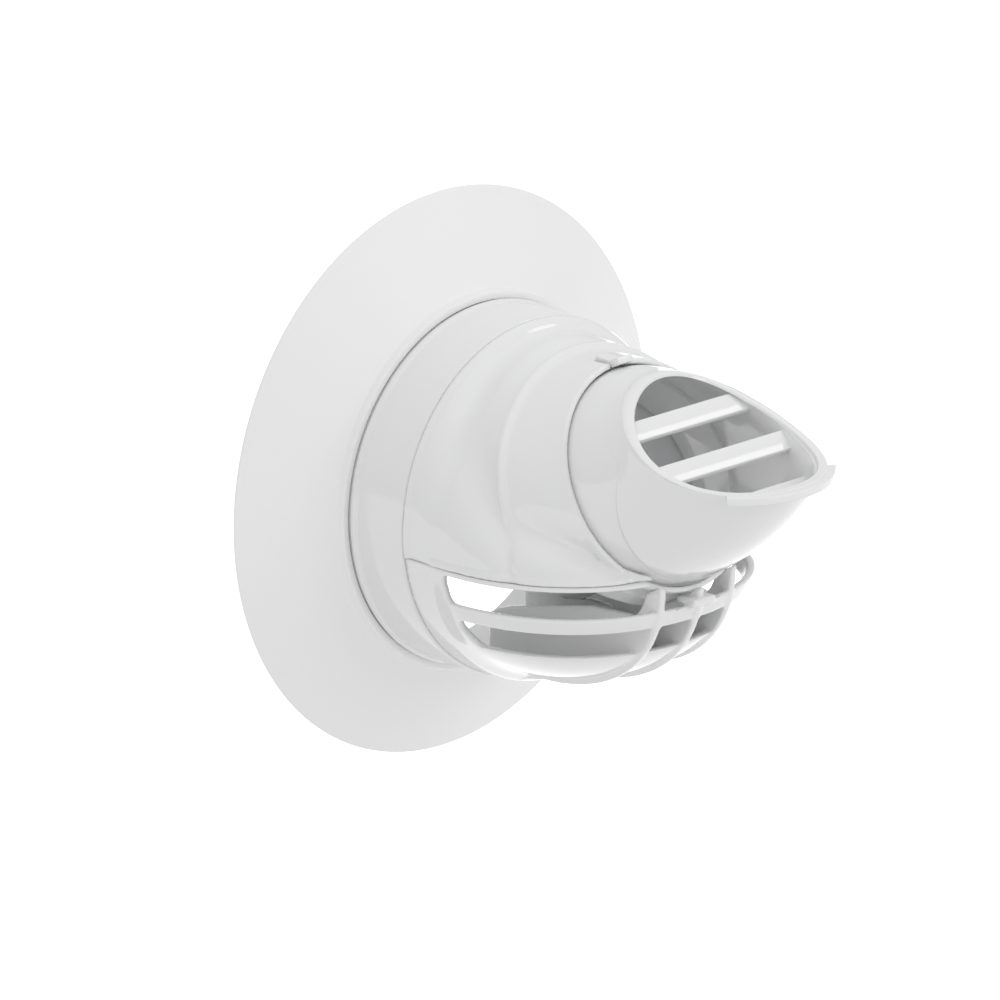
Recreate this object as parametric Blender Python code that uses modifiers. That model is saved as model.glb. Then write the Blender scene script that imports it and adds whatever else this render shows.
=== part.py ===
"""Wall terminal of a concentric 60/100 boiler flue, with a swivelling outlet mouthpiece.

Frame: the origin is on the duct axis in the wall plane, -Y points out of the wall, +Z is up.
"Reach" is the distance in front of the wall plane, so a point at reach 40 mm has y = -40 mm.
Sizes are in millimetres, and every piece is mirror-symmetric about x = 0.
"""
import math

import bmesh
import bpy
from mathutils import Matrix, Vector

MM = 0.001
FIT = 0.3                      # gap between pieces that touch
RUN = 0.4                      # radial gap at the swivel

# Wall rosette
ROSETTE_RADIUS = 82.25
ROSETTE_THICKNESS = 1.8
ROSETTE_RIM = 3.0              # width of the flat ring that lies on the wall
ROSETTE_HUB_REACH = 15.5
ROSETTE_HUB_DEPTH = 4.5
ROSETTE_CUFF_WIDTH = 2.4

# Duct collar, which slips over the air duct
COLLAR_BORE = 50.6
COLLAR_WALL = 1.4
COLLAR_REACH = 35.9
COLLAR_BEAD = 0.7
COLLAR_BEAD_LENGTH = 2.6
COLLAR_STOP = 31.0             # reach of the shoulder that the air duct meets
NECK_LENGTH = 3.0
NECK_WALL = 1.8

# Outline that the hood and the grille basket share
SHELL_RADIUS = 51.3
SHELL_WALL = 2.0
BODY_START = 50.0              # reach where the outline starts to round off
BODY_FRONT = 102.0
BRIM_LEVEL = -6.5
BRIM_POWER = 2.25
HOOD_HEIGHT = 48.5
HOOD_POWER = 2.2
SHOULDER_START = 38.6
BASKET_DEPTH = 39.0
BASKET_POWER = 2.1

# Outlet socket of the hood: three circles, from the root inside the body to the rim
AXIS_TILT = math.radians(27.3)
RIM_REACH, RIM_HEIGHT, RIM_BORE = 84.2, 16.9, 32.0
RIM_WALL = 1.5
BAND_REACH, BAND_HEIGHT, BAND_RADIUS, BAND_TILT = 70.75, 4.97, 45.1, math.radians(20.8)
BAND_STEP = 0.9                # step down at the band, where the root ends
ROOT_REACH, ROOT_HEIGHT, ROOT_RADIUS, ROOT_TILT = 52.0, -2.0, 45.6, math.radians(12)
ROOT_RISE = 6.8                # how much wider the root is at the top
LIP_BAND = 3.0                 # length of the socket's rim that stays below the brim

# Inner flue bend
FLUE_RADIUS = 30.0             # bore of the socket for the mouthpiece
FLUE_WALL = 1.6
INLET_RADIUS = 25.0            # spigot that enters the flue pipe
INLET_REACH = 36.0
INLET_CHAMFER = 0.6
OUTLET_SET_BACK = 4.0          # the bend's end behind the hood socket's rim
OUTLET_DEPTH = 15.0
OUTLET_FLARE = 5.0
GROOVE_START = 4.0
GROOVE_LENGTH = 5.0
GROOVE_DEPTH = 2.4

# Outlet mouthpiece
SPIGOT_LENGTH = 17.0
MOUTH_WALL = 2.2
MOUTH_RUN = 0.4                # gap between the mouthpiece and the hood socket's rim
MOUTH_REACH = 110.0
MOUTH_RADIUS = 28.4
MOUTH_LIP = 2.8
MOUTH_FRONT_HEIGHT = 25.2
MOUTH_RISE = 0.0065            # rim height per square of the distance behind the front, in 1/mm
SLAT_COUNT = 3
SLAT_REACH, SLAT_HEIGHT = 93.2, 38.3     # upper edge of the first slat
SLAT_STEP, SLAT_DROP = 14.7, 8.7
SLAT_WIDTH = 6.0
SLAT_THICKNESS = 1.8
SLAT_SLOPE = math.radians(45)
DRIP_WIDTH = 2.4
DRIP_DEPTH = 2.3
DRIP_HALF_ANGLE = math.radians(45)

# Grille
SLOTS = ((BRIM_LEVEL - 1.7, 50.4, -16.6, 51.8), (-21.4, 52.8, -30.0, 56.3))
SLOT_CORNER = 1.8
FIN_SPACING = 14.0
FIN_THICKNESS = 2.2
FIN_REAR = 33.4
FIN_STEP = 1.9                 # how far the fins stand below the floor
FIN_RIB = 6.2
CATCH_WIDTH = 8.8
CATCH_LEVEL = -14.8
CATCH_HEIGHT = 2.0

# Latch tongue at the top of the socket
LATCH_WIDTH = 6.0
LATCH_HEIGHT = 2.1
LATCH_REAR = 5.0               # length behind the socket's rim
LATCH_OVERHANG = 3.2
LATCH_SLOPE = 0.58             # the wall's rise per length behind the rim

WHITE = (0.84, 0.85, 0.86)
SOFT_WHITE = (0.88, 0.89, 0.90)
GREY = (0.55, 0.56, 0.57)
BLACK = (0.03, 0.03, 0.03)


def collection(name):
    made = bpy.data.collections.new(name)
    bpy.context.scene.collection.children.link(made)
    return made


def material(name, colour, roughness):
    made = bpy.data.materials.new(name)
    made.use_nodes = True
    shader = made.node_tree.nodes["Principled BSDF"]
    shader.inputs["Base Color"].default_value = (*colour, 1)
    shader.inputs["Roughness"].default_value = roughness
    shader.inputs["Metallic"].default_value = 0
    return made


def place(name, mesh, group):
    made = bpy.data.objects.new(name, mesh)
    group.objects.link(made)
    return made


def finish(target, surface):
    """Gives a finished piece its material and smooth shading."""
    if target.modifiers:
        bake(target)
    target.data.materials.clear()
    target.data.materials.append(surface)
    target.data.shade_smooth()
    target.data.set_sharp_from_angle(angle=math.radians(32))


def point(x, reach, height):
    return Vector((x * MM, -reach * MM, height * MM))


def loft(rings, closed=False):
    """Skins rings that have the same number of points. Closed joins the last ring to the first."""
    count = len(rings[0])
    spans = len(rings) if closed else len(rings) - 1
    mesh = bpy.data.meshes.new("loft")
    faces = []
    for i in range(spans):
        a, b = i * count, (i + 1) % len(rings) * count
        faces += [(a + j, a + (j + 1) % count, b + (j + 1) % count, b + j) for j in range(count)]
    if not closed:
        faces += [tuple(range(count)), tuple(range(spans * count, (spans + 1) * count))]
    mesh.from_pydata([p for ring in rings for p in ring], [], faces)
    shape = bmesh.new()
    shape.from_mesh(mesh)
    bmesh.ops.recalc_face_normals(shape, faces=shape.faces)
    shape.to_mesh(mesh)
    shape.free()
    return mesh


def turned(name, outline, group, reach=0.0, height=0.0, tilt=0.0, sides=48):
    """Turns (radius, distance) points about an axis that leaves the wall, raised by tilt."""
    mesh = bpy.data.meshes.new(name)
    count = len(outline)
    edges = [(i, (i + 1) % count) for i in range(count)]
    mesh.from_pydata([(r * MM, 0, d * MM) for r, d in outline], edges, [])
    made = place(name, mesh, group)
    made.location = point(0, reach, height)
    made.rotation_euler = (math.pi / 2 - tilt, 0, 0)
    screw = made.modifiers.new("turn", "SCREW")
    screw.axis = "Z"
    screw.angle = math.tau
    screw.steps = screw.render_steps = sides
    screw.use_merge_vertices = True
    screw.merge_threshold = 1e-5
    return made


def bake(target):
    """Replaces an object's mesh by what its modifiers make of it."""
    bpy.context.view_layer.update()
    graph = bpy.context.evaluated_depsgraph_get()
    mesh = bpy.data.meshes.new_from_object(target.evaluated_get(graph))
    target.modifiers.clear()
    target.data = mesh


def combine(target, tool, operation):
    """Applies a Boolean and removes its tool."""
    modifier = target.modifiers.new(operation, "BOOLEAN")
    modifier.operation = operation
    modifier.solver = "EXACT"
    modifier.object = tool
    bake(target)
    bpy.data.objects.remove(tool)


def prism(name, outline, half_width, group, x=0.0):
    """A plate square to X, from an outline of (reach, height) points."""
    return place(name, loft([[point(x + side * half_width, *p) for p in outline] for side in (-1, 1)]), group)


def smooth(value):
    value = min(max(value, 0.0), 1.0)
    return value * value * (3 - 2 * value)


def body_share(reach, inset):
    """0 where the shared outline starts to round off, 1 at its front."""
    return min(max((reach - BODY_START) / (BODY_FRONT - inset - BODY_START), 0.0), 1.0)


def brim_width(reach, inset):
    share = body_share(reach, inset)
    return (SHELL_RADIUS - inset) * (1 - share ** BRIM_POWER) ** (1 / BRIM_POWER)


def arch(width, height, radius, level, power, blend, side):
    """Half a section above (side 1) or below (side -1) a level: from a circle to a superellipse."""
    start = math.asin(level / radius) * side
    steps = 28
    points = []
    for i in range(steps + 1):
        turn = math.pi * i / steps
        bulge_x = width * math.copysign(abs(math.cos(turn)) ** (2 / power), math.cos(turn))
        bulge_z = level + side * height * abs(math.sin(turn)) ** (2 / power)
        angle = start + (math.pi - 2 * start) * i / steps
        ring_x, ring_z = radius * math.cos(angle), side * radius * math.sin(angle)
        points.append((ring_x * (1 - blend) + bulge_x * blend, ring_z * (1 - blend) + bulge_z * blend))
    return points


def stations(inset, first):
    """Reaches of the body's sections, closer together where it curves most."""
    front = BODY_FRONT - inset
    middle = [SHOULDER_START, 41, 43.5, 46, 48.5, 51.5, 55, 60, 65, 70, 75, 80, 84.5, 88.5, 92, 95]
    return [first] + middle + [front - 4.2, front - 2, front - 0.8, front - 0.2]


def hood_solid(name, inset, first, group):
    """The hood's body, with a skirt that reaches well below the brim."""
    rings = []
    for reach in stations(inset, first):
        rise = (HOOD_HEIGHT - inset) * max(1 - body_share(reach, inset) ** 1.15, 0.0) ** 0.9
        blend = smooth((reach - SHOULDER_START) / (BODY_START - SHOULDER_START))
        half = arch(brim_width(reach, inset), rise, SHELL_RADIUS - inset, BRIM_LEVEL, HOOD_POWER, blend, 1)
        skirt = [(half[-1][0], BRIM_LEVEL - 20), (half[0][0], BRIM_LEVEL - 20)]
        rings.append([point(x, reach, z) for x, z in half + skirt])
    return place(name, loft(rings), group)


def basket_solid(name, inset, first, top, group):
    """The basket's body, closed by a flat top."""
    rings = []
    for reach in stations(inset, first):
        share = body_share(reach, inset)
        depth = (BASKET_DEPTH - inset) * (1 - share ** 2.3) ** (1 / 2.3)
        blend = smooth((reach - 44) / 12)
        width = brim_width(reach, inset)
        half = arch(width, depth, SHELL_RADIUS - inset, BRIM_LEVEL - FIT, BASKET_POWER, blend, -1)
        lid = [(half[-1][0], top), (half[0][0], top)]
        rings.append([point(x, reach, z) for x, z in half + lid])
    return place(name, loft(rings), group)


def ring(reach, height, radius, tilt, rise=0.0, count=40):
    """A circle whose axis leaves the wall and is raised by tilt. Its first point is the highest.

    A rise makes its upper half wider.
    """
    points = []
    for i in range(count):
        turn = math.tau * i / count
        spread = radius + rise * max(math.cos(turn), 0) ** 2
        side, up = spread * math.sin(turn), spread * math.cos(turn)
        points.append(point(side, reach - up * math.sin(tilt), height + up * math.cos(tilt)))
    return points


def on_axis(distance):
    """Reach and height of a point on the swivel axis, measured forward from the socket's rim."""
    return RIM_REACH + distance * math.cos(AXIS_TILT), RIM_HEIGHT + distance * math.sin(AXIS_TILT)


def funnel_solid(name, inset, rim, past, group):
    """The hood's socket, from the root inside the body to the rim, and past it for a cutter."""
    rings = [ring(ROOT_REACH, ROOT_HEIGHT, ROOT_RADIUS - inset, ROOT_TILT, ROOT_RISE),
             ring(BAND_REACH - 1.0, BAND_HEIGHT - 0.4, BAND_RADIUS - inset, BAND_TILT),
             ring(BAND_REACH, BAND_HEIGHT, BAND_RADIUS - BAND_STEP - inset, BAND_TILT),
             ring(RIM_REACH, RIM_HEIGHT, rim, AXIS_TILT)]
    if past:
        rings.append(ring(*on_axis(past), rim, AXIS_TILT))
    return place(name, loft(rings), group)


def make_rosette(group):
    hub = COLLAR_BORE + COLLAR_WALL + FIT
    cuff = hub + ROSETTE_CUFF_WIDTH
    rear = ROSETTE_HUB_REACH - ROSETTE_HUB_DEPTH
    web = ROSETTE_HUB_REACH - 2.0
    outline = [(hub, ROSETTE_HUB_REACH), (cuff - 0.6, ROSETTE_HUB_REACH), (cuff, ROSETTE_HUB_REACH - 0.6),
               (cuff + 0.4, web), (ROSETTE_RADIUS - 0.6, 0.9), (ROSETTE_RADIUS, 0.4), (ROSETTE_RADIUS, 0),
               (ROSETTE_RADIUS - ROSETTE_RIM, 0), (cuff + 0.2, web - ROSETTE_THICKNESS - 0.3),
               (cuff - 1.0, rear), (hub, rear)]
    return turned("wall_rosette", outline, group, sides=80)


def make_collar(group):
    outer = COLLAR_BORE + COLLAR_WALL
    neck = SHELL_RADIUS - SHELL_WALL - FIT
    bead = ROSETTE_HUB_REACH + FIT
    end = COLLAR_REACH + NECK_LENGTH
    outline = [(neck - NECK_WALL, end), (neck, end), (neck, COLLAR_REACH), (outer - 1.0, COLLAR_REACH),
               (outer, COLLAR_REACH - 1.2), (outer, bead + COLLAR_BEAD_LENGTH),
               (outer + COLLAR_BEAD, bead + COLLAR_BEAD_LENGTH - 0.7), (outer + COLLAR_BEAD, bead + 0.4),
               (outer, bead), (outer, 0), (COLLAR_BORE, 0), (COLLAR_BORE, COLLAR_STOP),
               (neck - NECK_WALL, COLLAR_STOP)]
    return turned("duct_collar", outline, group, sides=64)


def make_hood(group, tools):
    rim = RIM_BORE + RIM_WALL
    hood = hood_solid("hood_shell", 0, COLLAR_REACH + FIT, group)
    combine(hood, funnel_solid("funnel", 0, rim, 0, tools), "UNION")
    combine(hood, hood_solid("cavity", SHELL_WALL, COLLAR_REACH - 4, tools), "DIFFERENCE")
    underside = [(COLLAR_REACH - 8, BRIM_LEVEL), (BODY_FRONT + 20, BRIM_LEVEL),
                 (BODY_FRONT + 20, BRIM_LEVEL - 60), (COLLAR_REACH - 8, BRIM_LEVEL - 60)]
    combine(hood, prism("below", underside, 80, tools), "DIFFERENCE")
    lip = loft([ring(*on_axis(d), rim, AXIS_TILT) for d in (-LIP_BAND, -0.001)])
    combine(hood, place("lip", lip, tools), "UNION")
    combine(hood, funnel_solid("bore", SHELL_WALL, RIM_BORE, 8, tools), "DIFFERENCE")
    combine(hood, latch_solid("notch", FIT, tools), "DIFFERENCE")
    return hood


def latch_solid(name, gap, group):
    """The latch's tongue in the socket's frame, grown by a gap on every side."""
    inner, outer = RIM_BORE - gap, RIM_BORE + LATCH_HEIGHT + gap
    rear, front = -LATCH_REAR - gap, LATCH_OVERHANG + gap
    climb = -rear * LATCH_SLOPE
    profile = [(rear, inner + climb), (rear, outer + climb), (0, outer), (front - 0.8, outer),
               (front, outer - 0.7), (front, inner), (0, inner)]
    cos, sin = math.cos(AXIS_TILT), math.sin(AXIS_TILT)
    outline = [(RIM_REACH + d * cos - r * sin, RIM_HEIGHT + d * sin + r * cos) for d, r in profile]
    return prism(name, outline, LATCH_WIDTH / 2 + gap, group)


def slot_solid(name, slot, group):
    """Opens one row of the grille on both sides, with rounded rear corners.

    A slot is the level and rear reach of its upper edge, then those of its lower edge.
    """
    upper, upper_rear, lower, lower_rear = slot
    outline = [(BODY_FRONT + 20, upper)]
    corner = [math.pi / 2 * i / 4 for i in range(5)]
    for turn in corner:
        back, down = SLOT_CORNER * (1 - math.sin(turn)), SLOT_CORNER * (1 - math.cos(turn))
        outline.append((upper_rear + back, upper - down))
    for turn in corner:
        back, down = SLOT_CORNER * (1 - math.cos(turn)), SLOT_CORNER * (1 - math.sin(turn))
        outline.append((lower_rear + back, lower + down))
    outline.append((BODY_FRONT + 20, lower))
    return prism(name, outline, 90, group)


def fin_solid(name, x, group):
    """A plate across the basket. Its upper edge carries the flue, and its front is a rib."""
    far = abs(x) + FIN_THICKNESS / 2
    length = (1 - abs(x / SHELL_RADIUS) ** BRIM_POWER) ** (1 / BRIM_POWER)
    front = BODY_START + (BODY_FRONT - BODY_START) * length
    clear = COLLAR_REACH + NECK_LENGTH + FIT
    top = BRIM_LEVEL - 2 * FIT
    if x:
        outline = [(FIN_REAR, -31.4), (37.4, -29.3), (41.7, -27.8), (55.1, -24.7), (72.7, -20.6), (88.2, -20)]
        for i in range(1, 5):
            turn = math.pi / 2 * i / 4
            outline.append((front - FIN_RIB - 7 * (1 - math.sin(turn)), top - 3 - 11 * math.cos(turn)))
        outline += [(front - FIN_RIB, top), (front, top)]
    else:
        cradle = -INLET_RADIUS - FIT
        outline = [(FIN_REAR, cradle - 2.1), (INLET_REACH, cradle), (45, cradle + 4.3), (55, -12), (front, -12)]
    squash = (1 - (abs(x) / SHELL_RADIUS) ** 2.1) ** (1 / 2.1)
    for i in range(1, 13):
        turn = math.pi / 2 * i / 13
        across, down = math.cos(turn) ** (2 / 2.3), math.sin(turn) ** (2 / 2.3)
        outline.append((BODY_START + (front - BODY_START) * across,
                        BRIM_LEVEL - FIT - (BASKET_DEPTH * squash + FIN_STEP) * down))
    rear_level = -math.sqrt(SHELL_RADIUS ** 2 - x ** 2) - 0.45
    neck_level = -math.sqrt((SHELL_RADIUS - SHELL_WALL - NECK_WALL - 2 * FIT) ** 2 - far ** 2)
    outline += [(45, rear_level + 1.0), (clear + 2, rear_level + 0.6), (clear, rear_level + 2),
                (clear, neck_level), (FIN_REAR, neck_level)]
    return prism(name, outline, FIN_THICKNESS / 2, group, x)


def make_basket(group, tools):
    top = BRIM_LEVEL - FIT
    basket = basket_solid("grille_basket", 0, COLLAR_REACH + FIT, top, group)
    combine(basket, basket_solid("cavity", SHELL_WALL, COLLAR_REACH - 4, top + 4, tools), "DIFFERENCE")
    for slot in SLOTS:
        combine(basket, slot_solid("slot", slot, tools), "DIFFERENCE")
    for x in (-FIN_SPACING, 0, FIN_SPACING):
        combine(basket, fin_solid("fin", x, tools), "UNION")
    catch = [(96, CATCH_LEVEL), (BODY_FRONT + 1, CATCH_LEVEL), (BODY_FRONT + 1, CATCH_LEVEL - CATCH_HEIGHT),
             (96, CATCH_LEVEL - CATCH_HEIGHT)]
    combine(basket, prism("catch", catch, CATCH_WIDTH / 2, tools), "UNION")
    socket = loft([ring(*on_axis(d), RIM_BORE + RIM_WALL + FIT, AXIS_TILT) for d in (-16, 6)])
    combine(basket, place("clear", socket, tools), "DIFFERENCE")
    combine(basket, place("clear", loft(flue_outside(FIT)), tools), "DIFFERENCE")
    return basket


def mitre_ring(radius, count=40):
    """Where the horizontal end of the flue meets its tilted end."""
    corner = RIM_REACH - RIM_HEIGHT / math.tan(AXIS_TILT)
    slope = math.tan(AXIS_TILT / 2)
    points = []
    for i in range(count):
        turn = math.tau * i / count
        side, rise = radius * math.sin(turn), radius * math.cos(turn)
        points.append(point(side, corner - rise * slope, rise))
    return points


def flue_outside(gap=0.0):
    """Rings of the flue's outer surface, grown by a gap."""
    inlet = INLET_RADIUS + gap
    outlet = FLUE_RADIUS + FLUE_WALL + gap
    start = -OUTLET_SET_BACK - OUTLET_DEPTH
    groove = -OUTLET_SET_BACK - GROOVE_START
    rear = groove - GROOVE_LENGTH
    rings = [ring(INLET_REACH - gap, 0, inlet - INLET_CHAMFER, 0),
             ring(INLET_REACH + INLET_CHAMFER, 0, inlet, 0), mitre_ring(inlet)]
    for distance, radius in ((start - OUTLET_FLARE, inlet), (start, outlet), (rear - FLUE_WALL, outlet),
                             (rear - FLUE_WALL / 2, outlet + GROOVE_DEPTH),
                             (groove + FLUE_WALL / 2, outlet + GROOVE_DEPTH),
                             (groove + FLUE_WALL, outlet), (gap - OUTLET_SET_BACK, outlet)):
        rings.append(ring(*on_axis(distance), radius, AXIS_TILT))
    return rings


def make_flue(group):
    """A bend with a spigot for the flue pipe and a socket with a seal groove for the mouthpiece."""
    bore = INLET_RADIUS - FLUE_WALL
    start = -OUTLET_SET_BACK - OUTLET_DEPTH
    groove = -OUTLET_SET_BACK - GROOVE_START
    rear = groove - GROOVE_LENGTH
    inner = [ring(INLET_REACH, 0, bore, 0), mitre_ring(bore)]
    for distance, radius in ((start - OUTLET_FLARE, bore), (start, FLUE_RADIUS), (rear, FLUE_RADIUS),
                             (rear, FLUE_RADIUS + GROOVE_DEPTH), (groove, FLUE_RADIUS + GROOVE_DEPTH),
                             (groove, FLUE_RADIUS), (-OUTLET_SET_BACK, FLUE_RADIUS)):
        inner.append(ring(*on_axis(distance), radius, AXIS_TILT))
    return place("flue_bend", loft(flue_outside() + inner[::-1], closed=True), group)


def make_seal(group):
    spigot = FLUE_RADIUS - RUN + FIT
    outside = FLUE_RADIUS + GROOVE_DEPTH - FIT
    low, high = FIT, GROOVE_LENGTH - FIT
    outline = [(spigot + 0.8, high), (outside, high), (outside, low), (spigot + 0.8, low), (spigot, low + 1.2),
               (spigot, low + 2.4)]
    reach, height = on_axis(-OUTLET_SET_BACK - GROOVE_START - GROOVE_LENGTH)
    return turned("outlet_seal", outline, group, reach, height, AXIS_TILT)


def mouth_height(reach):
    behind = MOUTH_REACH + MOUTH_RADIUS - reach
    return MOUTH_FRONT_HEIGHT + MOUTH_RISE * behind * behind


def mouth_ring(share, inset, count=40):
    """Section of the mouthpiece, from the socket (share 0) to the mouth's rim (share 1)."""
    radius = RIM_BORE - MOUTH_RUN - inset
    rim = MOUTH_RADIUS - inset * MOUTH_LIP / MOUTH_WALL
    start_reach, start_height = on_axis(-1.6)
    s2, s3 = share * share, share ** 3
    points = []
    for i in range(count):
        turn = math.tau * i / count
        side, rise = math.sin(turn), math.cos(turn)
        a = Vector((radius * side, start_reach - radius * rise * math.sin(AXIS_TILT),
                    start_height + radius * rise * math.cos(AXIS_TILT)))
        reach = MOUTH_REACH - rim * rise
        b = Vector((rim * side, reach, mouth_height(MOUTH_REACH - MOUTH_RADIUS * rise)))
        length = (b - a).length
        leave = Vector((0, math.cos(AXIS_TILT), math.sin(AXIS_TILT))) * length
        bowl = (1 - rise) / 2
        arrive = Vector((0, 0.99, 0.15)) * (1 - bowl) + Vector((0.41 * side, -0.41 * rise, 0.91)) * bowl
        arrive = arrive.normalized() * length
        spot = a * (2 * s3 - 3 * s2 + 1) + leave * (s3 - 2 * s2 + share)
        spot += b * (3 * s2 - 2 * s3) + arrive * (s3 - s2)
        points.append(point(*spot))
    return points


def make_mouthpiece(group, tools):
    spigot = FLUE_RADIUS - RUN
    shares = [0, 0.08, 0.18, 0.3, 0.42, 0.54, 0.66, 0.78, 0.9, 1]
    rings = [ring(*on_axis(-SPIGOT_LENGTH), spigot, AXIS_TILT), ring(*on_axis(-1.6), spigot, AXIS_TILT)]
    rings += [mouth_ring(s, 0) for s in shares]
    inside = [mouth_ring(s, MOUTH_WALL) for s in reversed(shares)]
    rings += inside[:-1] + [ring(*on_axis(d), spigot - FLUE_WALL, AXIS_TILT) for d in (-1.6, -SPIGOT_LENGTH)]
    mouth = place("outlet_mouthpiece", loft(rings, closed=True), group)
    for i in range(SLAT_COUNT):
        reach, height = SLAT_REACH + i * SLAT_STEP, SLAT_HEIGHT - i * SLAT_DROP
        along = (SLAT_WIDTH * math.cos(SLAT_SLOPE), -SLAT_WIDTH * math.sin(SLAT_SLOPE))
        across = (-SLAT_THICKNESS * math.sin(SLAT_SLOPE), -SLAT_THICKNESS * math.cos(SLAT_SLOPE))
        outline = [(reach, height), (reach + along[0], height + along[1]),
                   (reach + along[0] + across[0], height + along[1] + across[1]),
                   (reach + across[0], height + across[1])]
        slat = prism("slat", outline, MOUTH_RADIUS + 8, tools)
        plug = [mouth_ring(s, MOUTH_WALL / 2) for s in shares]
        cap = [p + Vector((0, 0, 6 * MM)) for p in plug[-1]]
        combine(slat, place("plug", loft(plug + [cap]), tools), "INTERSECT")
        combine(mouth, slat, "UNION")
    drip = []
    for i in range(17):
        turn = math.pi - DRIP_HALF_ANGLE + 2 * DRIP_HALF_ANGLE * i / 16
        inner, outer = MOUTH_RADIUS - MOUTH_LIP / 2, MOUTH_RADIUS + DRIP_WIDTH
        top = mouth_height(MOUTH_REACH - MOUTH_RADIUS * math.cos(turn)) - 0.2
        section = [(inner, top), (outer, top), (outer, top - DRIP_DEPTH), (inner, top - DRIP_DEPTH)]
        drip.append([point(r * math.sin(turn), MOUTH_REACH - r * math.cos(turn), z) for r, z in section])
    combine(mouth, place("drip", loft(drip), tools), "UNION")
    return mouth


def set_origin(target, spot):
    """Moves an object's origin to a point without moving its surface."""
    target.data.transform(Matrix.Translation(-spot))
    target.location = spot


def main():
    for old in list(bpy.data.objects):
        bpy.data.objects.remove(old)
    parts = collection("flue_terminal")
    tools = collection("cutters")
    shell = material("gloss_white", WHITE, 0.25)
    soft = material("rosette_white", SOFT_WHITE, 0.45)
    pipe = material("flue_grey", GREY, 0.4)
    rubber = material("seal_black", BLACK, 0.7)
    finish(make_rosette(parts), soft)
    finish(make_collar(parts), shell)
    finish(make_hood(parts, tools), shell)
    finish(make_basket(parts, tools), shell)
    finish(make_flue(parts), pipe)
    finish(make_seal(parts), rubber)
    mouth = make_mouthpiece(parts, tools)
    finish(mouth, shell)
    set_origin(mouth, point(0, RIM_REACH, RIM_HEIGHT))
    latch = latch_solid("outlet_latch", 0, parts)
    finish(latch, shell)


main()
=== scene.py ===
"""Studio scene of the flue terminal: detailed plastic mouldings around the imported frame.

Sizes are in millimetres in the part's own frame. Reach is the distance out of the wall, -Y.
"""
import math

import bmesh
import bpy
import numpy as np
from mathutils import Matrix, Vector


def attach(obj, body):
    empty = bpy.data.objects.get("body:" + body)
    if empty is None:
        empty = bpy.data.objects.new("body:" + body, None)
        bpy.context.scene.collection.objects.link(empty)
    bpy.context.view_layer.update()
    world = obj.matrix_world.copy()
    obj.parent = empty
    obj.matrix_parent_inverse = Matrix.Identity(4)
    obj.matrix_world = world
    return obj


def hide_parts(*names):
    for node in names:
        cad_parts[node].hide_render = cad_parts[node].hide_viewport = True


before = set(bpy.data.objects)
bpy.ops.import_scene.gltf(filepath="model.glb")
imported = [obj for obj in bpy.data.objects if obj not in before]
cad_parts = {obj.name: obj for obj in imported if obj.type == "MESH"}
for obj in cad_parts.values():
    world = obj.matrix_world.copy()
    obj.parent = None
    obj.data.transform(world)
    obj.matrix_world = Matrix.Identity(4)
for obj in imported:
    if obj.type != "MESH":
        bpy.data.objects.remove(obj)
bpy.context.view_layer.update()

MM = 0.001
FIT = 0.3                      # gap between pieces that touch
FINE = 0.6                     # cell size of the hood's and the basket's grids

# Rosette and collar
ROSETTE_RADIUS, ROSETTE_RIM = 82.25, 3.0
HUB_REACH, HUB_DEPTH, CUFF_WIDTH = 15.5, 4.5, 2.4
COLLAR_RADIUS, COLLAR_BORE, COLLAR_REACH = 52.0, 50.6, 35.9
COLLAR_STOP = 31               # reach of the shoulder that the air duct meets
COLLAR_BEAD, COLLAR_BEAD_LENGTH = 0.7, 2.6
NECK_LENGTH, NECK_WALL = 3, 1.8

# Outline that the hood and the basket share
SHELL_RADIUS, SHELL_WALL = 51.3, 2.0
BODY_START, BODY_FRONT = 50.0, 102.0
BRIM_LEVEL, BRIM_POWER = -6.5, 2.25

# Hood
SHOULDER_START = 38.6
HOOD_HEIGHT, HOOD_POWER = 48.5, 2.2
HOOD_FALL, HOOD_FALL_END = 1.15, 0.9    # exponents of the top line's fall to the front
HOOD_BEAD, HOOD_BEAD_END = 0.6, 37.2
BRIM_BAND, BRIM_BAND_RISE = 1.5, 0.35   # a band along the brim that stands out
NOTCH_MIDDLE, NOTCH_HALF = -1.6, 3.7    # of the latch's opening, along the swivel axis
SEAM_FILLET, SEAM_WIDTH = 3, 2.6        # of the groove between the body and the socket
SEAM_DEPTH, SEAM_DEPTH_LOW, SEAM_DEPTH_FOOT = 1.1, 1.3, 1.1
HOOD_BOX = ((-53, 34.5, -16), (53, 104, 53))    # corners of its grid: x, reach, height

# Socket: its root inside the body, its band and its rim
AXIS_TILT = math.radians(27.3)
ROOT_REACH, ROOT_HEIGHT, ROOT_RADIUS, ROOT_TILT = 52.0, -2.0, 45.6, math.radians(12)
ROOT_RISE = 6.8                # how much wider the root is at the top
BAND_REACH, BAND_HEIGHT, BAND_RADIUS, BAND_TILT = 70.75, 4.97, 45.1, math.radians(20.8)
BAND_STEP, BAND_RIDGE = 1.0, 0.4
RIM_REACH, RIM_HEIGHT, RIM_BORE, RIM_WALL = 84.2, 16.9, 32.0, 1.5
LIP_LENGTH = 3.0               # of the straight ring at the rim
STATIONS = ((ROOT_REACH, ROOT_HEIGHT, ROOT_TILT), (BAND_REACH, BAND_HEIGHT, BAND_TILT),
            (RIM_REACH, RIM_HEIGHT, AXIS_TILT))

# Basket
BASKET_DEPTH, BASKET_POWER = 39.0, 2.1
BASKET_BLEND = (44, 12)        # where the round body starts to change, and over what length
KEEL_POWER = 2.3               # exponent of the side view's curve; BASKET_POWER is the section's
BASKET_BOX = ((-52.5, 32, -53), (52.5, 105, -5))
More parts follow.
